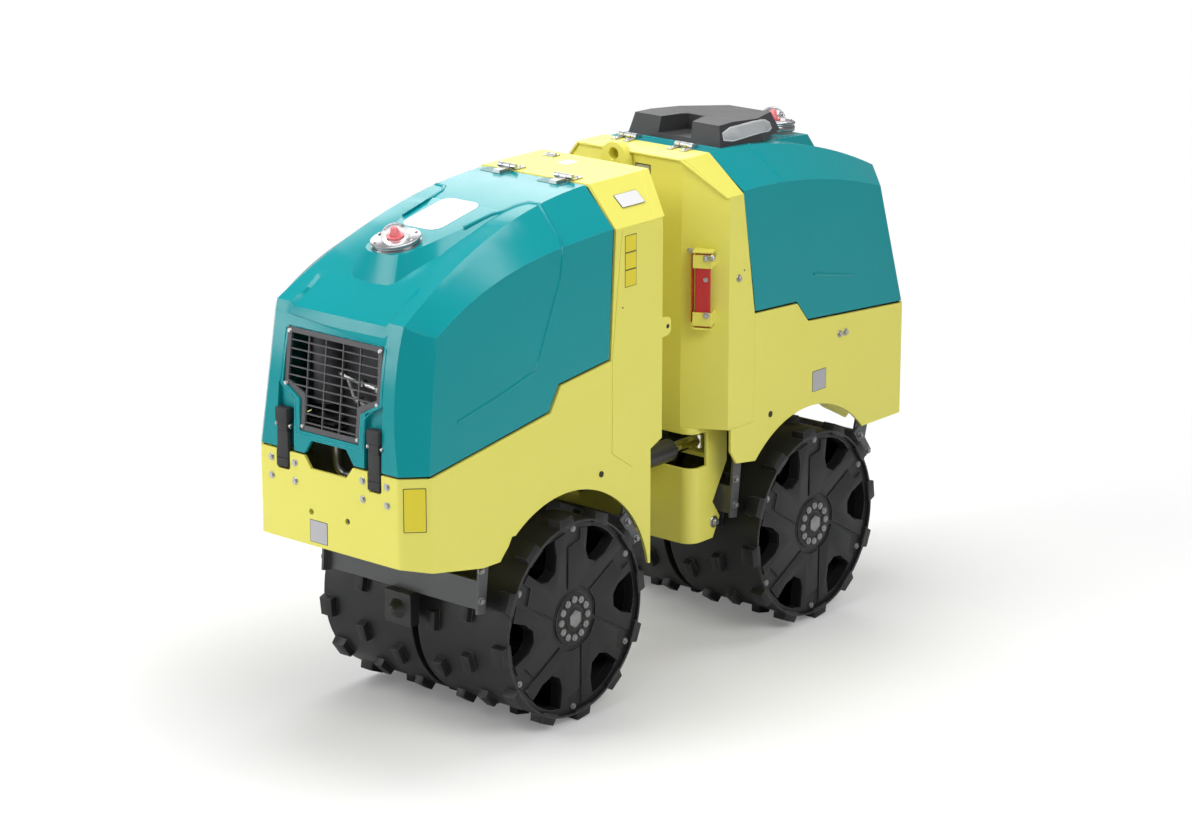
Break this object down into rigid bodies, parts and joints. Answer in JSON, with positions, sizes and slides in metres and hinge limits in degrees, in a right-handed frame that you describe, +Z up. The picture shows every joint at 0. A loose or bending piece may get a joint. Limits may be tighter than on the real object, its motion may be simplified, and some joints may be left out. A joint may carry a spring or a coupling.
{
  "type": "trench roller",
  "caption": "Articulated trench roller with padded drums in pairs under two hooded halves, a steering pivot between them and hinged hoods",
  "frame": {"origin": "on the ground below the middle of the machine's length and width", "axes": "+X forward, +Y to the machine's left, +Z up"},
  "size_m": [2.071, 0.64, 1.405],
  "materials": {
    "lime": "satin lime yellow paint",
    "teal": "satin teal moulded hood",
    "charcoal": "matt dark grey coating",
    "black_plastic": "textured black",
    "black_rubber": "matt",
    "grille_grey": "satin grey",
    "zinc": "zinc plated",
    "steel_grey": "satin mid grey",
    "red_paint": "gloss red",
    "red_lens": "clear dome over a red core",
    "engine_grey": "plain",
    "chrome_rod": "ground and plated"
  },
  "bodies": {
    "front_half": {"front_frame": "lime", "front_cover": "lime", "front_yoke": "lime", "front_axle_carrier": "charcoal", "front_sensor_block": "black_plastic", "front_scraper_fore": "steel_grey", "front_scraper_aft": "steel_grey", "engine_block": "engine_grey", "cylinder_foot": "lime", "front_cover_hinges": "zinc"},
    "rear_half": {"rear_frame": "lime", "rear_bulkhead": "lime", "rear_nose": "lime", "rear_axle_carrier": "charcoal", "rear_scraper_fore": "steel_grey", "rear_scraper_aft": "steel_grey", "tank_block": "engine_grey", "lifting_eye": "lime", "lock_bar": "red_paint", "rear_bulkhead_hinges": "zinc"},
    "front_hood_lid": {"front_hood": "teal", "front_grille": "grille_grey", "front_hood_latches": "black_rubber", "front_hood_hinges": "zinc", "front_receiver_base": "zinc", "front_receiver_dome": "red_lens"},
    "rear_hood_lid": {"rear_hood": "teal", "console": "black_plastic", "rear_hood_latches": "black_rubber", "rear_hood_hinges": "zinc", "rear_receiver_base": "zinc", "rear_receiver_dome": "red_lens"},
    "steering_cylinder_barrel": {"steering_barrel": "steel_grey"},
    "steering_cylinder_rod": {"steering_rod": "chrome_rod"},
    "front_left_drum": {"front_left_drum_shell": "charcoal", "front_left_drum_disc": "charcoal", "front_left_drum_hub": "zinc"},
    "front_right_drum": {"front_right_drum_shell": "charcoal", "front_right_drum_disc": "charcoal", "front_right_drum_hub": "zinc"},
    "rear_left_drum": {"rear_left_drum_shell": "charcoal", "rear_left_drum_disc": "charcoal", "rear_left_drum_hub": "zinc"},
    "rear_right_drum": {"rear_right_drum_shell": "charcoal", "rear_right_drum_disc": "charcoal", "rear_right_drum_hub": "zinc"}
  },
  "joints": [
    {"name": "steer", "type": "hinge", "parent": "front_half", "child": "rear_half", "pos_m": [-0.042, 0, 0.4575], "axis": [0, 0, 1], "range_deg": [-30, 30]},
    {"name": "front_hood_lift", "type": "hinge", "parent": "front_half", "child": "front_hood_lid", "pos_m": [0.2535, 0, 1.362], "axis": [0, -1, 0], "range_deg": [0, 65]},
    {"name": "rear_hood_lift", "type": "hinge", "parent": "rear_half", "child": "rear_hood_lid", "pos_m": [-0.2345, 0, 1.362], "axis": [0, 1, 0], "range_deg": [0, 60]},
    {"name": "steering_cylinder_swing", "type": "hinge", "parent": "front_half", "child": "steering_cylinder_barrel", "pos_m": [0.25, 0.15, 0.56], "axis": [0, 0, 1], "range_deg": [-13, 13]},
    {"name": "steering_cylinder_stroke", "type": "slide", "parent": "steering_cylinder_barrel", "child": "steering_cylinder_rod", "axis": [-1, 0, 0], "range_m": [-0.079, 0.079]},
    {"name": "front_left_drum_roll", "type": "hinge", "parent": "front_half", "child": "front_left_drum", "pos_m": [0.4722, 0.16, 0.28], "axis": [0, 1, 0], "continuous": true},
    {"name": "front_right_drum_roll", "type": "hinge", "parent": "front_half", "child": "front_right_drum", "pos_m": [0.4722, -0.16, 0.28], "axis": [0, 1, 0], "continuous": true},
    {"name": "rear_left_drum_roll", "type": "hinge", "parent": "rear_half", "child": "rear_left_drum", "pos_m": [-0.5426, 0.16, 0.28], "axis": [0, 1, 0], "continuous": true},
    {"name": "rear_right_drum_roll", "type": "hinge", "parent": "rear_half", "child": "rear_right_drum", "pos_m": [-0.5426, -0.16, 0.28], "axis": [0, 1, 0], "continuous": true}
  ],
  "couplings": [
    {"joint": "steering_cylinder_swing", "follows": "steer", "ratio": 0.4},
    {"joint": "steering_cylinder_stroke", "follows": "steer", "m_per_rad": 0.1482}
  ]
}
